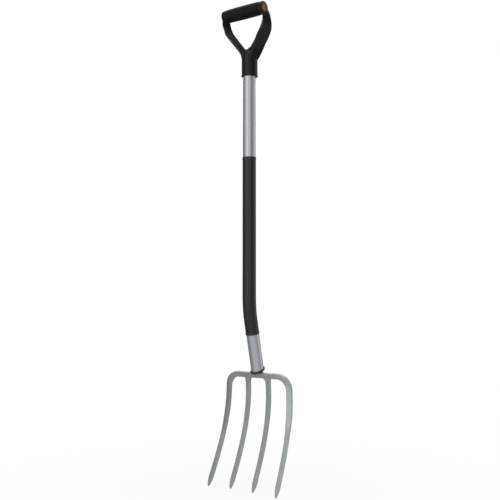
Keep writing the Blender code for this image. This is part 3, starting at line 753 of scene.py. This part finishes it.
# Sections of the right leg at falling heights: the edge beside the opening, the front ridge, the
# outer edge and the back, each as x and y from the shaft's axis.
LEG = [
    (1.184, (0.053, -0.016), (0.060, -0.033), (0.0630, -0.014), (0.0610, -0.003)),
    (1.176, (0.052, -0.014), (0.0605, -0.0325), (0.0675, -0.0075), (0.0635, 0.001)),
    (1.164, (0.051, -0.012), (0.0645, -0.0305), (0.0725, -0.0075), (0.065, 0.0045)),
    (1.148, (0.0453, -0.012), (0.0615, -0.0245), (0.0757, -0.0063), (0.062, 0.007)),
    (1.137, (0.0392, -0.012), (0.056, -0.0205), (0.0724, 0.0002), (0.055, 0.007)),
    (1.126, (0.0308, -0.011), (0.0470, -0.0168), (0.0657, 0.0050), (0.047, 0.009)),
    (1.114, (0.022, -0.009), (0.0368, -0.0146), (0.0566, 0.0078), (0.039, 0.013)),
    (1.103, (0.0130, -0.0085), (0.0275, -0.0140), (0.0475, 0.009), (0.030, 0.0155)),
    (1.091, (0.0030, -0.008), (0.0205, -0.0140), (0.0385, 0.0105), (0.024, 0.0175)),
    (1.080, (-0.0060, -0.008), (0.0168, -0.0142), (0.0318, 0.0095), (0.018, 0.0195)),
    (1.070, (-0.009, -0.008), (0.0145, -0.0142), (0.0262, 0.0065), (0.014, 0.0185)),
    (1.064, (-0.009, -0.007), (0.0120, -0.0125), (0.0185, 0.003), (0.011, 0.0150)),
]


def between_sections(index, t):
    """The four corners of a leg between two listed sections, on a smooth curve through them all."""
    rows = [LEG[min(max(index + k, 0), len(LEG) - 1)] for k in (-1, 0, 1, 2)]
    found = []
    for corner in range(4):
        a, b, c, d = [Vector((*row[corner + 1], row[0])) for row in rows]
        found.append(0.5 * (2 * b + (c - a) * t + (2 * a - 5 * b + 4 * c - d) * t * t
                            + (3 * b - a - 3 * c + d) * t ** 3))
    return found


def made_solid(piece):
    """The piece with its modifiers worked into the mesh."""
    evaluated = piece.evaluated_get(bpy.context.evaluated_depsgraph_get())
    piece.data = bpy.data.meshes.new_from_object(evaluated)
    piece.modifiers.clear()


def cut(piece, cutter):
    bore = piece.modifiers.new("cut", "BOOLEAN")
    bore.operation = "DIFFERENCE"
    bore.solver = "EXACT"
    bore.object = cutter
    made_solid(piece)
    bpy.data.objects.remove(cutter)


parts = []
for side in (-1, 1):
    rings = []
    for index in range(len(LEG) - 1):
        for step in range(4):
            corners = between_sections(index, step / 4)
            points = [Vector((side * p.x, SHAFT_Y + p.y, p.z)) for p in corners]
            rings.append(rounded(points, LEG_ROUNDING, 6))
    lowest, *corners = LEG[-1]
    points = [Vector((side * x, SHAFT_Y + y, lowest)) for x, y in corners]
    rings.append(rounded(points, LEG_ROUNDING, 6))
    parts.append(skin("leg", rings))
    along = Vector((side, 0, 0))
    parts.append(turned("boss", Vector((0, GRIP.y, GRIP.z)), along, [
        (GRIP_HALF + GAP, BOSS_RADIUS - 0.0006), (GRIP_HALF + 0.0015, BOSS_RADIUS),
        (BOSS_END - 0.0028, BOSS_RADIUS), (BOSS_END - 0.0009, BOSS_RADIUS - 0.0009),
        (BOSS_END, BOSS_RADIUS - 0.0028),
    ], 96))
rings = []
for k in range(13):
    x = WEB_HALF_WIDTH * (k / 6 - 1)
    crown = CROTCH_Z - (CROTCH_RADIUS ** 2 - x * x) ** 0.5
    outline = [
        (WEB_FRONT, WEB_BOTTOM), (WEB_BACK, WEB_BOTTOM), (WEB_BACK, crown - 0.0012), (WEB_FRONT, crown),
    ]
    rings.append(rounded([Vector((x, SHAFT_Y + y, z)) for y, z in outline], WEB_ROUNDING, 6))
parts.append(skin("web", rings))
height = plug_high.z - SOCKET_BOTTOM + SOCKET_DOME
parts.append(turned("socket", Vector((0, SHAFT_Y + SOCKET_BACK, SOCKET_BOTTOM)), Vector((0, 0, 1)), [
    (0, SOCKET_RADIUS - 0.0002), (0.0008, SOCKET_RADIUS + 0.0006), (0.0040, SOCKET_RADIUS + 0.0006),
    (0.0056, SOCKET_RADIUS - 0.0001), (height - 0.014, SOCKET_RADIUS),
    (height - 0.005, SOCKET_RADIUS - 0.004), (height, SOCKET_RADIUS - 0.013),
], 96))
moulding = bmesh.new()
for part in parts:
    moulding.from_mesh(part.data)
    bpy.data.objects.remove(part)
data = bpy.data.meshes.new("handle_frame_moulded")
moulding.to_mesh(data)
moulding.free()
handle = bpy.data.objects.new("handle_frame_moulded", data)
bpy.context.scene.collection.objects.link(handle)
fuse = handle.modifiers.new("fuse", "REMESH")
fuse.mode = "VOXEL"
fuse.voxel_size = 0.0008
soften = handle.modifiers.new("soften", "SMOOTH")
soften.factor = 0.5
soften.iterations = 6
made_solid(handle)

bore = TUBE_RADIUS + GAP
cut(handle, turned("tube_bore", Vector((0, SHAFT_Y, SOCKET_BOTTOM)), Vector((0, 0, 1)), [
    (-0.002, bore + 0.0011), (0.0001, bore + 0.0009), (0.0010, bore), (0.0525, bore),
], 96))
recess = BOSS_END - CAP_SEAT
cut(handle, turned("grip_bore", Vector((0, GRIP.y, GRIP.z)), Vector((1, 0, 0)), [
    (-BOSS_END - BORE_REACH, CAP_RADIUS + GAP), (-recess, CAP_RADIUS + GAP), (-recess, CORE_RADIUS + GAP),
    (recess, CORE_RADIUS + GAP), (recess, CAP_RADIUS + GAP), (BOSS_END + BORE_REACH, CAP_RADIUS + GAP),
], 96))
seat = SOCKET_RADIUS + SOCKET_BACK - SCREW_SEAT_DEPTH
cut(handle, turned("screw_hole", Vector((0, SHAFT_Y, SCREW_Z)), Vector((0, 1, 0)), [
    (0.0025, 0.0025), (seat, 0.0025), (seat, 0.0045), (seat + 0.006, 0.0045),
]))
lay = handle.data.attributes.new("lay", "FLOAT_VECTOR", "POINT")
lay.data.foreach_set("vector", [value for vertex in handle.data.vertices for value in vertex.co])
handle.data.shade_smooth()
handle.data.set_sharp_from_angle(angle=radians(40))
put(handle, nylon, "black_nylon", "handle_frame")

# ---- Handle screw ------------------------------------------------------------------------------
# A plated pan-head screw with a cross recess, through the back of the socket and the tube into the
# plug.

start = Vector((0, SHAFT_Y, SCREW_Z))
back = Vector((0, 1, 0))
screw = turned("handle_screw_panhead", start, back, [
    (0.0035, 0.0006), (0.0060, 0.0022), (seat + 0.0003, 0.0022), (seat + 0.0003, 0.0040),
    (seat + 0.0005, 0.0042), (seat + 0.0013, 0.0042), (seat + 0.0018, 0.0040), (seat + 0.0023, 0.0034),
    (seat + 0.0026, 0.0024), (seat + 0.0027, 0.0012),
])
for wide, tall in ((0.0022, 0.00042), (0.00042, 0.0022)):
    blade = []
    for along, taper in ((seat + 0.0008, 0.6), (seat + 0.0035, 1.0)):
        corners = [(-wide, -tall), (wide, -tall), (wide, tall), (-wide, tall)]
        blade.append([start + along * back + Vector((x * taper, 0, z * taper)) for x, z in corners])
    cut(screw, skin("blade", blade))
screw.data.set_sharp_from_angle(angle=radians(35))
put(screw, bright, "bright_steel", "handle_screw")

# ---- Cross-grip --------------------------------------------------------------------------------
# A stiff tube runs across the handle and into both rings, where it is hidden. A soft black cover is
# drawn over it between the rings.


def soft_cover(shade):
    grain = shade.noise(0.00055, (1, 1, 1), 2.0)
    hand = shade.noise(0.02, (0.5, 1, 1), 3.0)
    tone = hand.between(0.35, 0.70)
    return {
        "Base Color": tone.blend((0.0042, 0.0041, 0.0058, 1), (0.0080, 0.0078, 0.0105, 1)),
        "Roughness": grain * 0.12 + hand * 0.12 + 0.40,
        "Specular IOR Level": 0.25,
        "Normal": (grain + hand * 0.4).bump(0.00008, 0.6),
    }


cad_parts["grip_core"].data.materials.clear()
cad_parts["grip_core"].data.materials.append(bright)
GRIP_RADIUS = 0.0164
GRIP_BULGE = 0.00048
END_FALL = 0.0005
END_FALL_LENGTH = 0.0006
outside = []
for k in range(33):
    t = 2 * k / 32 - 1
    fall = END_FALL * exp(-(1 - abs(t)) * GRIP_HALF / END_FALL_LENGTH)
    outside.append((GRIP_HALF * t, GRIP_RADIUS + GRIP_BULGE * (1 - t * t) - fall))
cover = turned("grip_cover_soft", Vector((0, GRIP.y, GRIP.z)), Vector((1, 0, 0)), [
    (-GRIP_HALF, CORE_RADIUS + GAP), *outside, (GRIP_HALF, CORE_RADIUS + GAP),
], 96, closed=True)
put(cover, finish("soft_grip_cover", soft_cover), "soft_grip", "grip_sleeve")

# ---- End caps ----------------------------------------------------------------------------------
# An orange plastic cap plugs each end of the cross-grip, with a shallow dished face.


def orange_plastic(shade):
    grain = shade.noise(0.0004, (1, 1, 1), 2.0)
    flow = shade.noise(0.004, (1, 1, 1), 2.0)
    return {
        "Base Color": flow.between(0.3, 0.7).blend((0.235, 0.095, 0.030, 1), (0.32, 0.135, 0.045, 1)),
        "Roughness": grain * 0.15 + 0.38,
        "Subsurface Weight": 0.05,
        "Subsurface Radius": (0.002, 0.0008, 0.0004),
        "Normal": grain.bump(0.00005, 0.5),
    }


orange = finish("orange_plastic", orange_plastic)
CAP_PROUD = 0.0002
for place, side in (("left", -1), ("right", 1)):
    face = BOSS_END + CAP_PROUD
    cap = turned(f"end_cap_{place}_dished", Vector((0, GRIP.y, GRIP.z)), Vector((side, 0, 0)), [
        (0.0485, 0.0067), (0.0495, 0.0077), (0.0602, 0.0077), (0.0602, 0.0102), (0.0604, CAP_RADIUS),
        (0.0633, CAP_RADIUS), (face - 0.0004, 0.01035), (face - 0.0001, 0.0100), (face, 0.0095),
        (face - 0.0001, 0.0089), (face - 0.0004, 0.0084), (face - 0.0005, 0.0076), (face - 0.0004, 0.0050),
        (face - 0.0003, 0.0022), (face - 0.0006, 0.0018), (face - 0.0007, 0.0008),
    ], 96)
    put(cap, orange, "orange_plastic", f"end_cap_{place}")

# ---- Studio ------------------------------------------------------------------------------------
# A plain pale floor, soft light from large panels, and a camera that looks at the fork from the
# front and to the right, a little below its middle.


def stage_floor():
    data = bpy.data.meshes.new("studio_floor")
    edge = 40
    level = -0.0004
    corners = [(-edge, -edge, level), (edge, -edge, level), (edge, edge, level), (-edge, edge, level)]
    data.from_pydata(corners, [], [(0, 1, 2, 3)])
    floor = bpy.data.objects.new("studio_floor", data)
    bpy.context.scene.collection.objects.link(floor)
    made = bpy.data.materials.new("pale_floor")
    made.use_nodes = True
    tree = made.node_tree
    shade = Shade(tree)
    principled = tree.nodes["Principled BSDF"]
    principled.inputs["Base Color"].default_value = (0.88, 0.88, 0.88, 1)
    principled.inputs["Roughness"].default_value = 0.9
    place = shade.node("ShaderNodeTexCoord", None, None, "Object")
    distance = shade.node("ShaderNodeVectorMath", {"operation": "LENGTH"}, {0: place}, "Value")
    glow = shade.node("ShaderNodeEmission", None, {"Color": (1, 1, 1, 1), "Strength": 1.0})
    near = Shade(tree, principled.outputs["BSDF"])
    # The floor takes a little shadow near the fork and is plain white from 1.5 m out.
    mixed = shade.node("ShaderNodeMixShader", None, {0: distance.between(-6.0, 1.5), 1: near, 2: glow})
    tree.links.new(mixed.socket, tree.nodes["Material Output"].inputs["Surface"])
    data.materials.append(made)
    floor.visible_diffuse = False
    floor.visible_glossy = False
    floor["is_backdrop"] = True


def panel(name, place, target, width, height, brightness):
    lamp = bpy.data.lights.new(name, "AREA")
    lamp.shape = "RECTANGLE"
    lamp.size = width
    lamp.size_y = height
    lamp.energy = brightness * pi * width * height
    holder = bpy.data.objects.new(name, lamp)
    holder.location = place
    holder.rotation_euler = (Vector(target) - Vector(place)).to_track_quat("-Z", "Y").to_euler()
    holder.visible_camera = False
    bpy.context.scene.collection.objects.link(holder)


stage_floor()
CAMERA_TURN = radians(38.349)
CAMERA_PITCH = radians(3.058)
CAMERA_DISTANCE = 2.1115
CAMERA_HEIGHT = 0.4754
CAMERA_SIDE = 0.0019
right = Vector((cos(CAMERA_TURN), sin(CAMERA_TURN), 0))
toward = Vector((sin(CAMERA_TURN), -cos(CAMERA_TURN), 0))
middle = Vector((0, 0, 0.62))


def round_the_fork(degrees, distance, height):
    """A place round the fork, counted in degrees to the camera's right."""
    turn = radians(degrees)
    return distance * (cos(turn) * toward + sin(turn) * right) + Vector((0, 0, height))


panel("key_panel", round_the_fork(-33, 2.2, 1.15), middle, 0.9, 2.6, 1.18)
panel("front_panel", round_the_fork(3, 3.0, 0.9), middle, 1.6, 2.4, 0.78)
panel("left_panel", round_the_fork(-60, 2.4, 0.9), middle, 1.0, 2.6, 0.80)
panel("right_panel", round_the_fork(104, 2.4, 0.8), middle, 1.3, 2.4, 0.82)
panel("back_panel", round_the_fork(180, 3.0, 3.0), middle, 5.2, 2.6, 1.30)
bounce = 0.6 * toward + 0.25 * right
panel("floor_bounce", bounce, bounce + Vector((0, 0, 1)), 1.6, 1.6, 0.36)
panel("top_panel", (0.4, -0.4, 3.2), (0, 0, 0), 2.4, 2.4, 1.6)

world = bpy.data.worlds.new("studio")
world.use_nodes = True
bpy.context.scene.world = world
sky = Shade(world.node_tree)
rays = sky.node("ShaderNodeLightPath", None, None, "Is Camera Ray")
seen = sky.node("ShaderNodeBackground", None, {"Color": (1, 1, 1, 1), "Strength": 1.0})
dim = sky.node("ShaderNodeBackground", None, {"Color": (1, 1, 1, 1), "Strength": 0.24})
mixed = sky.node("ShaderNodeMixShader", None, {0: rays, 1: dim, 2: seen})
world.node_tree.links.new(mixed.socket, world.node_tree.nodes["World Output"].inputs["Surface"])
bpy.context.scene.view_settings.view_transform = "Standard"

lens = bpy.data.cameras.new("camera")
lens.lens = 61.2
lens.sensor_width = 36
camera = bpy.data.objects.new("camera", lens)
ahead = -toward * cos(CAMERA_PITCH) + Vector((0, 0, sin(CAMERA_PITCH)))
above = right.cross(ahead)
camera.matrix_world = Matrix((right, above, -ahead)).transposed().to_4x4()
camera.location = toward * CAMERA_DISTANCE + right * CAMERA_SIDE + Vector((0, SHAFT_Y, CAMERA_HEIGHT))
bpy.context.scene.collection.objects.link(camera)
bpy.context.scene.camera = camera

low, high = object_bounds()
